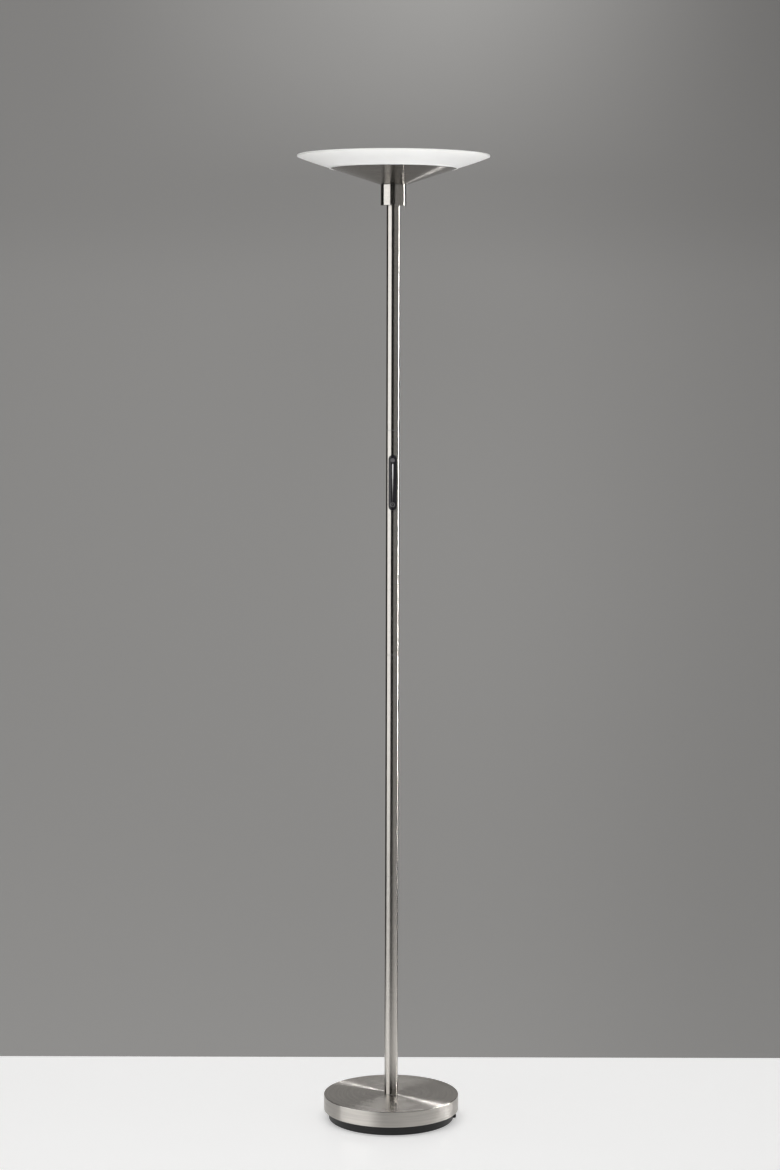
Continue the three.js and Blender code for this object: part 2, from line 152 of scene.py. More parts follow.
# %% Node trees, and a finish as one material with its shader
class Nodes:
    def __init__(self, tree):
        self.tree = tree

    def plug(self, socket, value):
        if isinstance(value, Wire):
            self.tree.links.new(value.socket, socket)
        else:
            socket.default_value = value

    def node(self, kind, settings=None, sockets=None, output=0):
        made = self.tree.nodes.new(kind)
        for name, value in (settings or {}).items():
            setattr(made, name, value)
        for name, value in (sockets or {}).items():
            self.plug(made.inputs[name], value)
        return Wire(self, made.outputs[output])

    def parts_of(self, vector):
        split = self.node("ShaderNodeSeparateXYZ", sockets={"Vector": vector})
        outputs = split.socket.node.outputs
        return [Wire(self, outputs[name]) for name in "XYZ"]

    def vector(self, x, y, z):
        return self.node("ShaderNodeCombineXYZ", sockets={"X": x, "Y": y, "Z": z})


class Finish(Nodes):
    def __init__(self, name, constants):
        self.material = bpy.data.materials.new(name)
        self.material.use_nodes = True
        super().__init__(self.material.node_tree)
        self.shader = self.tree.nodes["Principled BSDF"]
        self.set(constants)

    def set(self, values):
        for name, value in values.items():
            self.plug(self.shader.inputs[name], value)

    def place(self):
        return self.node("ShaderNodeTexCoord", output="Object")

    def noise(self, vector, scale, detail=2.0, roughness=0.5):
        values = {"Vector": vector, "Scale": scale, "Detail": detail, "Roughness": roughness}
        return self.node("ShaderNodeTexNoise", sockets=values)

    def mix(self, share, first, second):
        settings = {"data_type": "RGBA"}
        first, second = [c if isinstance(c, Wire) else (*c, 1.0) for c in (first, second)]
        return self.node("ShaderNodeMix", settings, {0: share, 6: first, 7: second}, output=2)

    def bump(self, height, distance, strength=1.0):
        values = {"Height": height, "Distance": distance, "Strength": strength}
        self.set({"Normal": self.node("ShaderNodeBump", sockets=values)})


print("shader helpers ready")

# %% [markdown]
# ## Brushed metal
# The cap, tubes, collar and cone are brushed while they turn on a lathe, so the scratches run
# round the pole's axis. Light then spreads across the scratches and hardly at all along them:
# that is anisotropy, and it draws the thin bright line across the base's flat top. Blender's
# own tangent already runs round the axis, so a quarter turn lays the spread across the scratches.


# %% Brushed metal turned round the lamp's axis
GROOVES_PER_M = 1300.0
STREAKS_PER_M = 260.0
EDGE_BLEND = 0.0008
WALL_ROUGHER = 0.19


def brushed_metal(name, tint, roughness, groove_depth, streak, wall_below=None):
    """The side below wall_below is brushed more coarsely than the flat top."""
    finish = Finish(name, {"Metallic": 1.0, "Anisotropic": 1.0, "Anisotropic Rotation": 0.25})
    x, y, z = finish.parts_of(finish.place())
    radius = (x * x + y * y) ** 0.5
    across = radius + z
    round_x = x / radius
    round_y = y / radius
    grooves = finish.noise(finish.vector(across * GROOVES_PER_M, round_x * 0.7, round_y * 0.7), 1.0, 2.0)
    streaks = finish.noise(finish.vector(across * STREAKS_PER_M, round_x * 1.1, round_y * 1.1), 1.0, 3.0)
    dark = [c * (1.0 - streak) for c in tint]
    light = [min(1.0, c * (1.0 + streak)) for c in tint]
    gloss = roughness + (streaks - 0.5) * 0.08
    if wall_below is not None:
        on_wall = 1.0 - z.smooth_step(wall_below - EDGE_BLEND, wall_below)
        gloss = gloss + on_wall * WALL_ROUGHER
    finish.set({
        "Base Color": finish.mix(streaks.smooth_step(0.3, 0.7), dark, light),
        "Roughness": gloss,
    })
    finish.bump(grooves, groove_depth, 1.0)
    return finish.material


NICKEL = (0.600, 0.572, 0.535)
# The cone's nickel is the same metal darkened to 64 %: painted shade.
SHADED_NICKEL = [c * 0.64 for c in NICKEL]
cap_wall = top("base_cover") - EDGE_BLEND
base_metal = brushed_metal("brushed_base_metal", NICKEL, 0.17, 0.00034, 0.07, cap_wall)
pole_metal = brushed_metal("brushed_pole_metal", NICKEL, 0.22, 0.00004, 0.04)
cone_metal = brushed_metal("brushed_cone_metal", SHADED_NICKEL, 0.17, 0.00022, 0.05)
print("brushed metals:", base_metal.name, pole_metal.name, cone_metal.name)

# %% [markdown]
# ## Opal plastic
# The bowl and the lens are white opal plastic. Light enters it, scatters and comes out again
# near by, so it has no hard shading, and a thin edge looks brighter than a wide face.


# %% Opal bowl and frosted lens
def opal_plastic(name, colour, roughness):
    finish = Finish(name, {
        "Subsurface Weight": 0.35,
        "Subsurface Radius": (0.010, 0.010, 0.009),
        "Subsurface Scale": 1.0,
    })
    place = finish.place()
    cloud = finish.noise(place, 14.0, 2.0)
    grain = finish.noise(place, 900.0, 2.0)
    shade = [c * 0.975 for c in colour]
    finish.set({
        "Base Color": finish.mix(cloud.smooth_step(0.35, 0.65), shade, colour),
        "Roughness": roughness + (grain - 0.5) * 0.08,
    })
    finish.bump(grain, 0.00003, 0.25)
    return finish.material


bowl_opal = opal_plastic("opal_bowl", (0.845, 0.845, 0.828), 0.38)
lens_opal = opal_plastic("frosted_lens", (0.84, 0.845, 0.84), 0.55)
print("opal plastics:", bowl_opal.name, lens_opal.name)

# %% [markdown]
# ## Black plastic and rubber
# Moulded black plastic is never quite black: a fine spark-eroded grain from the mould scatters
# a little light, and its gloss varies from place to place.


# %% Moulded plastic and rubber
def moulded(name, colour, roughness, grain_scale, grain_depth):
    finish = Finish(name, {"Specular IOR Level": 0.35})
    place = finish.place()
    grain = finish.noise(place, grain_scale, 3.0, 0.6)
    patch = finish.noise(place, 18.0, 2.0)
    lighter = [c * 1.35 + 0.004 for c in colour]
    finish.set({
        "Base Color": finish.mix(grain.smooth_step(0.4, 0.75), colour, lighter),
        "Roughness": roughness + (patch - 0.5) * 0.12,
    })
    finish.bump(grain, grain_depth, 0.5)
    return finish.material


tray_plastic = moulded("moulded_black_plastic", (0.010, 0.010, 0.0105), 0.45, 1500.0, 0.00004)
gland_rubber = moulded("soft_black_rubber", (0.014, 0.014, 0.014), 0.62, 700.0, 0.00005)
cable_sheath = moulded("cable_sheath", (0.020, 0.020, 0.020), 0.50, 400.0, 0.00003)
driver_case = moulded("driver_case", (0.035, 0.035, 0.037), 0.48, 900.0, 0.00005)
print("moulded finishes:", tray_plastic.name, gland_rubber.name, cable_sheath.name)

# %% [markdown]
# ## Metals inside the lamp
# Zinc plate shows small pale crystals, raw cast iron is rough and dark, and rolled aluminium
# has faint straight rolling lines.


# %% Metals that are not brushed round the axis
def plain_metal(name, colour, roughness, grain_scale, depth, stretch=(1.0, 1.0, 1.0)):
    finish = Finish(name, {"Metallic": 1.0})
    place = finish.node("ShaderNodeMapping", sockets={"Vector": finish.place(), "Scale": stretch})
    grain = finish.noise(place, grain_scale, 3.0, 0.6)
    darker = [c * 0.82 for c in colour]
    finish.set({
        "Base Color": finish.mix(grain.smooth_step(0.35, 0.65), darker, colour),
        "Roughness": roughness + (grain - 0.5) * 0.2,
    })
    finish.bump(grain, depth, 0.4)
    return finish.material


zinc_plate = plain_metal("zinc_plate", (0.60, 0.61, 0.63), 0.36, 600.0, 0.00002)
raw_iron = plain_metal("raw_cast_iron", (0.10, 0.10, 0.10), 0.72, 450.0, 0.00020)
rolled_aluminium = plain_metal("rolled_aluminium", (0.78, 0.79, 0.80), 0.38, 80.0, 0.00002, (1.0, 14.0, 1.0))
print("inner metals:", zinc_plate.name, raw_iron.name, rolled_aluminium.name)


# %% [markdown]
# ## Turned pieces
# Nearly everything on this lamp is turned. A turned piece starts as a closed outline in one
# half-plane: radius across, height up. The outline is spun round the axis, its doubles are
# merged, and its sharp rings are bevelled, because no real edge is perfectly sharp.

# %% Spinning an outline
SPIN_STEPS = 128


def spun(outline, steps=SPIN_STEPS):
    shape = bmesh.new()
    ring = [shape.verts.new((radius, 0.0, height)) for radius, height in outline]
    loop = [shape.edges.new(pair) for pair in zip(ring, ring[1:])]
    if outline[0][0] > 0.0:
        loop.append(shape.edges.new((ring[-1], ring[0])))
    bmesh.ops.spin(
        shape, geom=ring + loop, cent=(0, 0, 0), axis=(0, 0, 1), angle=2 * math.pi,
        steps=steps, use_merge=True,
    )
    bmesh.ops.remove_doubles(shape, verts=shape.verts, dist=1e-6)
    bmesh.ops.recalc_face_normals(shape, faces=shape.faces)
    return shape


def corner_edges(shape, least_angle=35.0):
    least = math.radians(least_angle)
    return [e for e in shape.edges if e.is_manifold and e.calc_face_angle() > least]


def soften(shape, width, edges=None, segments=3):
    edges = corner_edges(shape) if edges is None else edges
    bmesh.ops.bevel(
        shape, geom=edges, offset=width, offset_type="OFFSET", affect="EDGES",
        segments=segments, profile=0.5, material=-1, clamp_overlap=True,
    )


# %% Turning a shape into a finished piece
def finished(name, shape, material, body, stands_for=()):
    mesh = bpy.data.meshes.new(name)
    for face in shape.faces:
        face.smooth = True
    shape.to_mesh(mesh)
    shape.free()
    mesh.materials.append(material)
    piece = bpy.data.objects.new(name, mesh)
    scene.collection.objects.link(piece)
    even = piece.modifiers.new("even_shading", "WEIGHTED_NORMAL")
    even.keep_sharp = True
    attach(piece, body)
    if stands_for:
        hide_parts(*stands_for)
    print(f"{name}: {len(mesh.polygons)} faces")
    return piece


# %% [markdown]
# ## The base
# The base is a pressed steel cap over an iron weight, on a black tray that is a little smaller,
# so the lamp seems to float on a dark line. The cap's wall is thin sheet with a tight rounded
# shoulder.

# %% Base cap
SHEET = 0.0012
ROD_HOLE = 0.0053
SHOULDER = 0.0014


def base_cap():
    radius, low, high = reach("base_cover"), bottom("base_cover"), top("base_cover")
    outline = [
        (radius - SHEET, low), (radius, low), (radius, high), (ROD_HOLE, high),
        (ROD_HOLE, high - SHEET), (radius - SHEET, high - SHEET),
    ]
    shape = spun(outline, 160)
    shoulder = [
        e for e in corner_edges(shape)
        if all(abs(v.co.z - high) < 1e-6 and v.co.xy.length > radius - 1e-5 for v in e.verts)
    ]
    soften(shape, SHOULDER, shoulder, 5)
    soften(shape, 0.0003, segments=2)
    return finished("base_cap", shape, base_metal, "stand", ["base_cover"])


cap = base_cap()

# %% [markdown]
# The tray is an injection moulding: a drafted wall, a fine groove under the cap and rounded
# lower edge, with pockets for the pads and wells for the screws cut into its underside.

# %% Cutting one shape out of another
def cut_with(piece, shape):
    mesh = bpy.data.meshes.new("cutter")
    shape.to_mesh(mesh)
    shape.free()
    cutter = bpy.data.objects.new("cutter", mesh)
    scene.collection.objects.link(cutter)
    saw = piece.modifiers.new("saw", "BOOLEAN")
    saw.operation = "DIFFERENCE"
    saw.solver = "EXACT"
    saw.object = cutter
    piece.modifiers.move(len(piece.modifiers) - 1, 0)
    with bpy.context.temp_override(object=piece, active_object=piece):
        bpy.ops.object.modifier_apply(modifier="saw")
    bpy.data.objects.remove(cutter)
    return piece


def plug_shape(radius, low, high, place=(0.0, 0.0), steps=40):
    shape = spun([(0.0, low), (radius, low), (radius, high), (0.0, high)], steps)
    bmesh.ops.translate(shape, verts=shape.verts, vec=(*place, 0.0))
    return shape


# %% Tray
TRAY_WALL = 0.0025
TRAY_LEDGE = 0.0054
TRAY_DRAFT = 0.0022
GROOVE = 0.0007
PADS = [f"foot_pad_{k}" for k in (1, 2, 3, 4)]
TRAY_SCREWS = [f"tray_screw_{k}" for k in (1, 2, 3)]


def middle(node):
    low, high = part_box(node)
    return (low + high) / 2


def base_tray():
    low, brim = bottom("base_tray"), reach("base_tray")
    wall = brim - TRAY_LEDGE
    foot = wall - TRAY_DRAFT
    ledge = bottom("base_cover") + 0.0003
    outline = [
        (0.0, low), (foot - 0.0012, low), (foot, low + 0.0012), (wall - 0.0004, ledge - 0.0034),
        (wall - GROOVE, ledge - 0.0030), (wall - GROOVE, ledge - 0.0016), (wall, ledge - 0.0012),
        (wall, ledge), (brim, ledge), (brim, ledge + 0.0022), (wall - TRAY_WALL, ledge + 0.0022),
        (foot - TRAY_WALL, low + TRAY_WALL), (0.0, low + TRAY_WALL),
    ]
    shape = spun(outline, 160)
    soften(shape, 0.0004, segments=2)
    piece = finished("tray", shape, tray_plastic, "stand", ["base_tray"])
    for node in PADS:
        cut_with(piece, plug_shape(0.0093, low - 0.002, 0.0020, middle(node).xy))
    for node in TRAY_SCREWS:
        cut_with(piece, plug_shape(0.0043, low - 0.002, low + 0.004, middle(node).xy))
    return piece


base_tray()

# %% [markdown]
# Four rubber pads stand a millimetre proud of the tray and carry the lamp. Each has a rounded
# rim and a shallow dished face, which grips better than a flat one.

# %% Foot pads
def foot_pad(node):
    low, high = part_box(node)
    radius, centre = (high.x - low.x) / 2, middle(node)
    outline = [(0.0, 0.0003), (radius * 0.55, 0.0), (radius, 0.0), (radius, high.z), (0.0, high.z)]
    shape = spun(outline, 40)
    soften(shape, 0.0003, segments=2)
    bmesh.ops.translate(shape, verts=shape.verts, vec=(centre.x, centre.y, 0.0))
    return finished(f"pad_{node[-1]}", shape, gland_rubber, "stand", [node])


for node in PADS:
    foot_pad(node)

# %% [markdown]
# The supply cord leaves the tray through a strain relief: a ribbed rubber nose that keeps the
# cord from kinking at the wall. It is turned upright like the other pieces and then laid over.

# %% Cord gland
GLAND_ANGLE = math.radians(-9.0)
GLAND_RIBS = 2
CORD_HOLE = 0.0025


def cord_gland():
    low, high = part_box("cord_gland")
    level = (low.z + high.z) / 2
    nose_end = Vector((high.x, high.x * math.tan(GLAND_ANGLE))).length - 0.0006
    wall = reach("base_tray") - TRAY_LEDGE
    flange = wall - TRAY_DRAFT - TRAY_WALL - 0.0006
    outline = [(CORD_HOLE, flange - 0.0016), (0.0060, flange - 0.0016), (0.0060, flange)]
    outline += [(0.0043, flange), (0.0043, wall + 0.0006)]
    pitch = (nose_end - wall - 0.0010) / GLAND_RIBS
    for rib in range(GLAND_RIBS):
        start = wall + 0.0008 + rib * pitch
        size = 0.0042 - 0.0004 * rib
        outline += [(size, start), (size, start + pitch * 0.6)]
        outline += [(size - 0.0006, start + pitch * 0.7), (size - 0.0006, start + pitch * 0.9)]
    outline += [(CORD_HOLE, nose_end)]
    shape = spun(outline, 40)
    soften(shape, 0.0002, segments=2)
    lay = Matrix.Rotation(GLAND_ANGLE, 4, "Z") @ Matrix.Translation((0, 0, level))
    bmesh.ops.transform(shape, verts=shape.verts, matrix=lay @ Matrix.Rotation(math.pi / 2, 4, "Y"))
    return finished("strain_relief", shape, gland_rubber, "stand", ["cord_gland"])


cord_gland()

# %% [markdown]
# ## The pole
# Four equal tubes screw together. A faint dark ring shows at each joint, because the tube ends
# are broken by a tiny chamfer and meet with a hair's gap.

# %% Pole tubes
TUBES = [f"pole_tube_{k}" for k in (1, 2, 3, 4)]
TUBE_WALL = 0.0012
END_CHAMFER = 0.00035


def pole_tube(node):
    low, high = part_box(node)
    radius = high.x
    inner = radius - TUBE_WALL
    shape = spun([(inner, low.z), (radius, low.z), (radius, high.z), (inner, high.z)], 96)
    soften(shape, END_CHAMFER, segments=2)
    name = f"tube_{node[-1]}"
    return finished(name, shape, pole_metal, "stand", [node])


tubes = [pole_tube(node) for node in TUBES]

# %% [markdown]
# ## The touch dimmer
# A strip of black plastic is let into the third tube. It follows the tube's round and stands
# half a millimetre proud. Stroking it changes the light, so nothing on it moves.

# %% A round-ended outline and the dimmer strip
def stadium(width, length, centre_height, depth, arc_steps=14):
    shape = bmesh.new()
    radius, offset = width / 2, (length - width) / 2
    points = []
    for side in (0, 1):
        for step in range(arc_steps + 1):
            angle = math.pi * (side + step / arc_steps)
            lift = offset if side == 0 else -offset
            points.append((radius * math.cos(angle), 0.0, centre_height + lift + radius * math.sin(angle)))
    face = shape.faces.new([shape.verts.new(p) for p in points])
    grown = bmesh.ops.extrude_face_region(shape, geom=[face])
    front = [v for v in grown["geom"] if isinstance(v, bmesh.types.BMVert)]
    bmesh.ops.translate(shape, verts=front, vec=(0.0, -depth, 0.0))
    bmesh.ops.recalc_face_normals(shape, faces=shape.faces)
    return shape


def sliced(shape, width, slices):
    """Cut upright slices so that the shape can bend round the pole."""
    for k in range(1, slices):
        everything = shape.verts[:] + shape.edges[:] + shape.faces[:]
        cut_at = (width * (k / slices - 0.5), 0, 0)
        bmesh.ops.bisect_plane(shape, geom=everything, plane_co=cut_at, plane_no=(1, 0, 0), dist=1e-7)
    return shape


print("stadium helper ready")

# %% Dimmer strip and its window
STRIP_GAP = 0.0005


def dimmer_strip():
    low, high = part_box("dimmer_plate")
    width, length, centre = high.x - low.x, high.z - low.z, (high.z + low.z) / 2
    outer = -low.y
    inner = outer - 0.0026
    cut_with(tubes[2], stadium(width + 2 * STRIP_GAP, length + 2 * STRIP_GAP, centre, outer + 0.004))
    shape = stadium(width, length, centre, outer + 0.004, 16)
    sliced(shape, width, 12)
    for v in shape.verts:
        radius = outer if v.co.y < -0.001 else inner
        v.co.y = -math.sqrt(radius * radius - v.co.x * v.co.x)
    soften(shape, 0.0004, corner_edges(shape, 50.0), 3)
    return finished("dimmer_strip", shape, strip_gloss, "stand", ["dimmer_plate"])


def gloss_strip():
    gloss = {"Coat Roughness": 0.08, "Coat Weight": 0.15, "Specular IOR Level": 0.35}
    finish = Finish("dimmer_gloss", gloss)
    smear = finish.noise(finish.place(), 60.0, 3.0)
    black, soot = (0.008, 0.008, 0.010), (0.013, 0.012, 0.015)
    finish.set({
        "Base Color": finish.mix(smear.smooth_step(0.3, 0.7), black, soot),
        "Roughness": 0.24 + (smear - 0.5) * 0.12,
    })
    return finish.material


strip_gloss = gloss_strip()
dimmer_strip()

# %% [markdown]
# The printed marks are thin layers of ink: a wedge that shows the level, a filled spot for full
# light at the top, and a ring with a dot at the bottom. Each is bent onto the strip's round.

# %% Printed marks
def ink(name, colour, fade_low=None, fade_high=None):
    finish = Finish(name, {"Roughness": 0.4})
    place = finish.place()
    speck = finish.noise(place, 2500.0, 2.0)
    tone = finish.mix(speck.smooth_step(0.3, 0.7), [c * 0.9 for c in colour], colour)
    if fade_low is not None:
        _, _, z = finish.parts_of(place)
        tone = finish.mix(z.smooth_step(fade_low, fade_high), [c * 0.12 for c in colour], tone)
    finish.set({"Base Color": tone})
    return finish.material


def onto_strip(shape, lift=0.00008):
    radius = -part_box("dimmer_plate")[0].y
    for v in shape.verts:
        v.co.y = -math.sqrt(radius * radius - v.co.x * v.co.x) - lift * (1 if v.co.y < -1e-6 else 0)
    return shape


def ink_layer(points):
    shape = bmesh.new()
    face = shape.faces.new([shape.verts.new((x, 0.0, z)) for x, z in points])
    grown = bmesh.ops.extrude_face_region(shape, geom=[face])
    front = [v for v in grown["geom"] if isinstance(v, bmesh.types.BMVert)]
    bmesh.ops.translate(shape, verts=front, vec=(0.0, -0.001, 0.0))
    bmesh.ops.recalc_face_normals(shape, faces=shape.faces)
    return shape


strip_low, strip_high = bottom("dimmer_plate"), top("dimmer_plate")
SPOT_RADIUS = 0.0039
SPOT_HEIGHT = strip_high - 0.0093
RING_HEIGHT = strip_low + 0.0104
WEDGE_TOP = strip_high - 0.0160
WEDGE_BOTTOM = strip_high - 0.0860


def printed_spot():
    shape = ink_layer([
        (SPOT_RADIUS * math.cos(a), SPOT_HEIGHT + SPOT_RADIUS * math.sin(a))
        for a in (2 * math.pi * k / 40 for k in range(40))
    ])
    sliced(shape, 2 * SPOT_RADIUS, 10)
    grey = ink("spot_ink", (0.105, 0.10, 0.108))
    return finished("full_light_mark", onto_strip(shape), grey, "stand")


def printed_wedge():
    shape = ink_layer([
        (-0.0002, WEDGE_BOTTOM), (0.0002, WEDGE_BOTTOM), (0.0010, WEDGE_TOP - 0.0012),
        (0.0006, WEDGE_TOP), (-0.0006, WEDGE_TOP), (-0.0010, WEDGE_TOP - 0.0012),
    ])
    white = ink("wedge_ink", (0.80, 0.79, 0.80), WEDGE_BOTTOM, WEDGE_TOP - 0.008)
    return finished("level_mark", onto_strip(shape), white, "stand")


def printed_ring(name, outer, inner):
    shape = spun([(inner, 0.0), (outer, 0.0), (outer, 0.001), (inner, 0.001)], 40)
    stand_up = Matrix.Translation((0, 0, RING_HEIGHT)) @ Matrix.Rotation(math.pi / 2, 4, "X")
    bmesh.ops.transform(shape, verts=shape.verts, matrix=stand_up)
    grey = ink(name + "_ink", (0.12, 0.117, 0.12))
    return finished(name, onto_strip(shape), grey, "stand")


printed_spot()
printed_wedge()
printed_ring("low_light_ring", 0.0042, 0.0030)
printed_ring("low_light_dot", 0.0011, 0.0)

# %% [markdown]
# ## Neck, cone and bowl
# A heavier collar hides where the pole enters the head. The cone is spun from sheet over a
# former, so it is thin, with a soft knee where it turns out of its flat middle. The opal bowl
# has a bead that hides the cone's rim, a gently curved wall and a rounded rim.

# %% Neck collar
def neck_collar():
    low, high, radius = bottom("neck_collar"), top("neck_collar"), reach("neck_collar")
    hole = reach("pole_tube_4") + 0.0003
    wall = 0.0025
    outline = [
        (hole, low), (radius, low), (radius, high), (radius - wall, high),
        (radius - wall, low + wall), (hole, low + wall),
    ]
    shape = spun(outline, 96)
    soften(shape, 0.0004, segments=3)
    return finished("collar", shape, pole_metal, "stand", ["neck_collar"])


neck_collar()

# %% Spun cone
def spun_cone():
    low, high, rim = bottom("shade_cone"), top("shade_cone"), reach("shade_cone")
    knee = reach("neck_collar")
    slope = (high - low - SHEET) / (rim - knee)
    outline = [
        (ROD_HOLE, low), (knee, low), (rim, high - SHEET), (rim, high), (rim - 2 * SHEET, high),
        (knee - SHEET * slope, low + SHEET), (ROD_HOLE, low + SHEET),
    ]
    shape = spun(outline, 160)
    soften(shape, 0.0004, corner_edges(shape, 12.0), 3)
    return finished("cone", shape, cone_metal, "stand", ["shade_cone"])


cone = spun_cone()

# %% Opal bowl
BOWL_WALL = 0.0030
BOWL_SAG = 0.00073
LEDGE_WIDTH = 0.0070


def bowl_curve(start, end, sag, count):
    (r0, z0), (r1, z1) = start, end
    shares = [k / count for k in range(count + 1)]
    return [(r0 + (r1 - r0) * t, z0 + (z1 - z0) * t - 4 * sag * t * (1 - t)) for t in shares]


def opal_bowl():
    cone_rim, cone_top = reach("shade_cone"), top("shade_cone")
    rim, rim_top = reach("shade_bowl"), top("shade_bowl")
    lens_edge, lens_seat = reach("top_lens") + 0.0006, top("top_lens") - 0.0025
    flange = cone_top + 0.0003
    lip_in, lip_out, lip_low = cone_rim + 0.0003, cone_rim + 0.0031, bottom("shade_bowl")
    outside = bowl_curve((lip_out, flange - 0.0002), (rim, rim_top - BOWL_WALL), BOWL_SAG, 12)
    inside = bowl_curve((cone_rim + 0.0036, flange + BOWL_WALL + 0.0004),
                        (lens_edge - LEDGE_WIDTH - 0.0003, lens_seat - 0.0028), 0.0004, 8)
    outline = [(cone_rim - 0.016, flange), (lip_in, flange), (lip_in, lip_low), (lip_out, lip_low)]
    outline += outside + [(rim, rim_top), (lens_edge + 0.0096, rim_top), (lens_edge, rim_top - 0.0015)]
    outline += [(lens_edge, lens_seat), (lens_edge - LEDGE_WIDTH, lens_seat)]
    outline += inside[::-1] + [(cone_rim - 0.016, flange + BOWL_WALL)]
    shape = spun(outline, 192)
    rim_edges = [
        e for e in corner_edges(shape, 20.0)
        if all(v.co.xy.length > rim - 0.0045 and v.co.z > rim_top - 0.0035 for v in e.verts)
    ]
    soften(shape, 0.0013, rim_edges, 4)
    lip_edges = [
        e for e in corner_edges(shape, 20.0)
        if all(abs(v.co.z - lip_low) < 1e-6 for v in e.verts)
    ]
    soften(shape, 0.0012, lip_edges, 4)
    soften(shape, 0.0002, segments=2)
    return finished("bowl", shape, bowl_opal, "stand", ["shade_bowl"])


opal_bowl()

# %% [markdown]
# The lens is a loose frosted disc. It drops onto the bowl's ledge a little below the rim and
# lifts straight out, so it rides on its own body.

# %% Lift-off lens
def lift_off_lens():
    radius, low, high = reach("top_lens"), bottom("top_lens"), top("top_lens")
    step = 0.0006
    outline = [
        (0.0, low), (radius - LEDGE_WIDTH, low), (radius - LEDGE_WIDTH + step, low + step),
        (radius, low + step), (radius, high - step), (radius - 0.0014, high), (0.0, high),
    ]
    shape = spun(outline, 192)
    soften(shape, 0.0002, corner_edges(shape, 30.0), 2)
    return finished("lens", shape, lens_opal, "lens", ["top_lens"])


lift_off_lens()

# %% [markdown]
# ## What is inside
# The weight, rods, nuts, plugs, boards and cable keep the shapes of the mechanical model. They
# only need their finishes. The board is lacquered white to throw light up, and the chips on it
# show the pale yellow phosphor that turns their blue light white.

# %% White solder mask on the boards
LED_TOP = top("led_board")
PHOSPHOR = (0.84, 0.72, 0.25)


def solder_mask():
    finish = Finish("white_solder_mask", {"Coat Weight": 0.3})
    place = finish.place()
    _, _, z = finish.parts_of(place)
    weave = finish.noise(place, 1200.0, 2.0)
    board = finish.mix(weave.smooth_step(0.3, 0.7), (0.74, 0.75, 0.73), (0.80, 0.81, 0.79))
    above = z.smooth_step(LED_TOP - 0.0005, LED_TOP - 0.0003)
    board = finish.mix(above, board, PHOSPHOR)
    finish.set({"Base Color": board, "Roughness": 0.35 + (weave - 0.5) * 0.1})
    return finish.material


board_mask = solder_mask()

# %% Finishes of the carried-over nodes
FINISH_OF_SLOT = {
    "zinc_steel": zinc_plate,
    "cast_iron": raw_iron,
    "bare_aluminium": rolled_aluminium,
    "board_lacquer": board_mask,
    "cable_sheath": cable_sheath,
    "black_plastic": driver_case,
}


def dress_carried_nodes():
    slots = {row["node"]: row["material_slot"] for row in frame["record"]["subparts"]}
    dressed = 0
    for name, node in nodes.items():
        if node.hide_render:
            continue
        node.data.materials.clear()
        node.data.materials.append(FINISH_OF_SLOT[slots[name]])
        dressed += 1
    return dressed


print("carried-over nodes dressed:", dress_carried_nodes())

# %% [markdown]
# ## Studio
# Bright metal shows its surroundings, so the surroundings are part of the finish. The lamp
# stands on a white floor in front of a grey wall. A wide soft light from the left draws the
# broad pale band on the pole and a narrow one from behind on the right draws the thin line.
# The floor glows a little by itself, as lit backdrops do, which keeps the shadows soft; the wall's glow
# carries painted shading and a painted pool of light.

# %% Floor and wall
FLOOR_EDGE = 0.425
TABLE_FRONT, TABLE_SIDE = -0.62, 1.15
OUTER = 7.0
FAR = 9.0


def staged_sheet(name, width, height, matrix, material):
    shape = bmesh.new()
    bmesh.ops.create_grid(shape, x_segments=1, y_segments=1, size=0.5)
    bmesh.ops.scale(shape, verts=shape.verts, vec=(width, height, 1.0))
    bmesh.ops.transform(shape, verts=shape.verts, matrix=matrix)
    mesh = bpy.data.meshes.new(name)
    shape.to_mesh(mesh)
    shape.free()
    mesh.materials.append(material)
    sheet = bpy.data.objects.new(name, mesh)
    scene.collection.objects.link(sheet)
    return sheet


def white_floor():
    finish = Finish("white_floor", {"Roughness": 0.30, "Specular IOR Level": 0.25})
    cloud = finish.noise(finish.place(), 0.7, 2.0)
    finish.set({
        "Base Color": finish.mix(cloud, (0.885, 0.885, 0.885), (0.90, 0.90, 0.90)),
        "Emission Color": (1.0, 1.0, 1.0, 1.0),
        "Emission Strength": 0.41,
    })
    return finish.material


floor_material = white_floor()


def floor_part(name, x_low, x_high, y_low, y_high):
    lay = Matrix.Translation(((x_low + x_high) / 2, (y_low + y_high) / 2, 0))
    return staged_sheet(name, x_high - x_low, y_high - y_low, lay, floor_material)


floor_part("floor", -TABLE_SIDE, TABLE_SIDE, TABLE_FRONT, FLOOR_EDGE)
outer_parts = [
    floor_part("floor_front", -OUTER, OUTER, -FAR, TABLE_FRONT),
    floor_part("floor_left", -OUTER, -TABLE_SIDE, TABLE_FRONT, FLOOR_EDGE),
    floor_part("floor_right", TABLE_SIDE, OUTER, TABLE_FRONT, FLOOR_EDGE),
    floor_part("floor_rear", -OUTER, OUTER, FLOOR_EDGE, FAR),
]
for part in outer_parts:
    part.visible_glossy = False
print("floor parts:", 1 + len(outer_parts))

# %% [markdown]
# The wall that the camera sees stands close behind the lamp. Shiny metal sees a smaller card
# farther back instead, as in a large studio, so the metal's dark and pale bands stay clear.
# Seen from behind, both let everything through, which leaves the rear views free. No light
# makes the wall's shading: it is painted into the wall's own glow, a little paler near the floor,
# darker towards the right, and with a soft pale patch high up in the middle, a painted pool of
# the lamp's own light.

# %% Wall and reflected card
CARD_PLACE = 1.6


def one_sided(finish, surface):
    behind = finish.node("ShaderNodeNewGeometry", output="Backfacing")
    clear = finish.node("ShaderNodeBsdfTransparent")
    shown = finish.node("ShaderNodeMixShader", sockets={0: behind, 1: surface, 2: clear})
    finish.plug(finish.tree.nodes["Material Output"].inputs["Surface"], shown)
    return finish.material


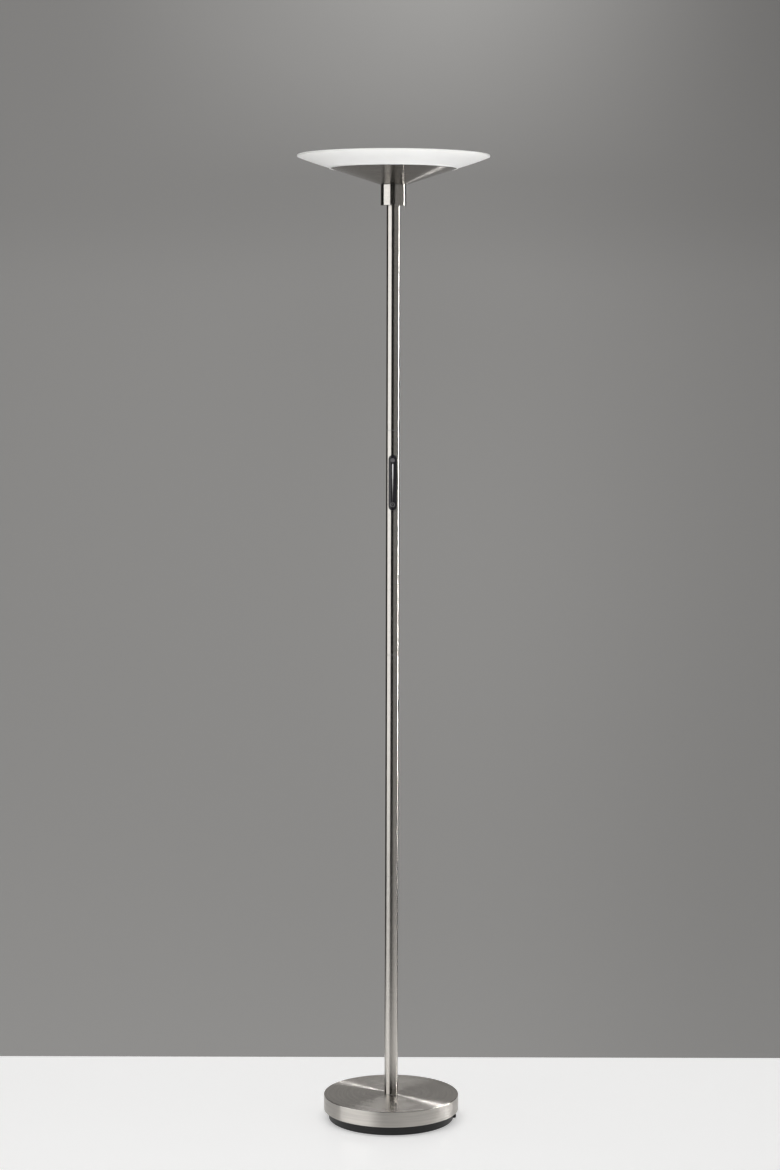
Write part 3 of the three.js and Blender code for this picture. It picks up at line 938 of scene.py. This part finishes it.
def grey_wall():
    finish = Finish("grey_wall", {"Roughness": 0.8, "Specular IOR Level": 0.1})
    x, _, z = finish.parts_of(finish.place())
    aside = ((x - 0.06) ** 2.0) ** 0.5
    # Painted light: rise and glow make a pool of the lamp's light on the wall above the shade, and right
    # paints shade on the right-hand side.
    rise = (z - 1.79).at_least(0.0).at_most(0.36)
    glow = rise * (1.0 - aside.smooth_step(0.0, 0.75)) * 0.35
    right = x.smooth_step(0.1, 0.8)
    level = 0.187 - z * 0.040 - z.smooth_step(1.55, 1.75) * 0.020
    light = (level + glow - right * 0.040).at_least(0.03)
    finish.set({
        "Base Color": (0.13, 0.128, 0.125, 1.0),
        "Emission Strength": 1.0,
        "Emission Color": finish.vector(light, light * 0.985, light * 0.962),
    })
    return one_sided(finish, Wire(finish, finish.shader.outputs[0]))


def reflected_card():
    finish = Finish("reflected_card", {})
    tone = {"Color": (0.262, 0.256, 0.249, 1.0), "Strength": 1.0}
    glow = finish.node("ShaderNodeEmission", sockets=tone)
    return one_sided(finish, glow)


def upright(name, width, low, high, depth_place, material):
    centre = Matrix.Translation((0, depth_place, (low + high) / 2))
    turn = Matrix.Rotation(math.pi / 2, 4, "X")
    return staged_sheet(name, width, high - low, centre @ turn, material)


wall = upright("wall", 2 * OUTER, 0.0, 5.0, FLOOR_EDGE, grey_wall())
wall.visible_glossy = False
wall.visible_shadow = False
card = upright("reflected_card", 2.3, -1.0, 3.4, CARD_PLACE, reflected_card())
card.visible_camera = False
card.visible_diffuse = False
card.visible_shadow = False
print("wall and card staged")

# %% [markdown]
# Each light shows either in shiny metal or on matt surfaces, so one can be set without upsetting
# the other. Two small, strong lights stand for bare bulbs behind the lamp: one draws the line
# across the brushed base, the other the line up the cone. Each falls on that one piece only.

# %% Lights
def soft_light(name, bearing, distance, height, width, tall, radiance, aim=None,
               seen_by="all", spread=180.0):
    """Bearing is measured from the camera's side of the lamp, positive to the right."""
    angle = math.radians(bearing)
    place = Vector((math.sin(angle) * distance, -math.cos(angle) * distance, height))
    target = Vector((0.0, 0.0, height) if aim is None else aim)
    lamp = bpy.data.lights.new(name, "AREA")
    lamp.shape = "RECTANGLE"
    lamp.size, lamp.size_y = width, tall
    lamp.energy = radiance * math.pi * width * tall
    lamp.spread = math.radians(spread)
    light = bpy.data.objects.new(name, lamp)
    scene.collection.objects.link(light)
    facing = (place - target).to_track_quat("Z", "Y").to_matrix().to_4x4()
    light.matrix_world = Matrix.Translation(place) @ facing
    light.visible_camera = False
    light.visible_glossy = seen_by in ("all", "shine")
    light.visible_diffuse = seen_by in ("all", "matt")
    return light


def only_on(light, piece):
    group = bpy.data.collections.new(light.name + "_receives")
    group.objects.link(piece)
    light.light_linking.receiver_collection = group


HEAD, BASE = (0.0, 0.0, 1.76), (0.0, 0.0, 0.05)
soft_light("left_softbox", -62.0, 2.2, 1.35, 2.8, 2.6, 1.50, seen_by="shine")
soft_light("right_strip", 112.0, 1.6, 1.25, 0.08, 1.7, 32.0, seen_by="shine")
base_spark = soft_light("base_spark", 160.0, 6.0, 4.88, 0.07, 0.14, 2700.0, BASE, seen_by="shine")
base_glow = soft_light("base_glow", 180.0, 1.0, 1.20, 0.70, 0.60, 1.7, BASE, seen_by="shine")
only_on(base_spark, cap)
only_on(base_glow, cap)
cone_spark = soft_light("cone_spark", 140.0, 1.90, 0.35, 0.03, 0.10, 2300.0, HEAD, seen_by="shine")
only_on(cone_spark, cone)
soft_light("shadow_light", 112.0, 1.5, 1.10, 0.15, 0.30, 5.0, BASE, seen_by="matt")
soft_light("overhead", -20.0, 0.8, 3.3, 2.6, 2.2, 2.0, BASE, seen_by="matt")
soft_light("bowl_fill", 34.0, 1.3, 0.25, 1.2, 0.8, 1.7, HEAD, seen_by="matt", spread=80.0)
print("lights placed")

# %% [markdown]
# The rest of the room is painted in the world's own nodes. Shiny metal sees a dark room with a
# grey side to the right of the camera, matt surfaces get an even fill, and the camera itself
# sees the same grey as the wall.

# %% The room as painted surroundings
SIDE_BEARING = math.radians(56.0)
SIDE_HALF_WIDTH = math.radians(40.0)


def painted_room(dark, grey, fill, backdrop):
    world = bpy.data.worlds.new("studio")
    world.use_nodes = True
    room = Nodes(world.node_tree)
    x, y, _ = room.parts_of(room.node("ShaderNodeTexCoord", output="Generated"))
    level = (x * x + y * y + 1e-6) ** 0.5
    toward = (x * math.sin(SIDE_BEARING) - y * math.cos(SIDE_BEARING)) / level
    edge = math.cos(SIDE_HALF_WIDTH)
    side = toward.smooth_step(edge - 0.05, edge + 0.05)
    path = room.node("ShaderNodeLightPath")
    rays = path.socket.node.outputs
    shiny, camera_ray = Wire(room, rays["Is Glossy Ray"]), Wire(room, rays["Is Camera Ray"])
    seen = shiny * (dark + side * (grey - dark)) + (1.0 - shiny) * fill
    background = room.tree.nodes["Background"]
    background.inputs["Color"].default_value = (1.0, 0.985, 0.965, 1.0)
    room.plug(background.inputs["Strength"], camera_ray * backdrop + (1.0 - camera_ray) * seen)
    scene.world = world


painted_room(0.015, 0.22, 0.30, 0.25)
print("room painted")
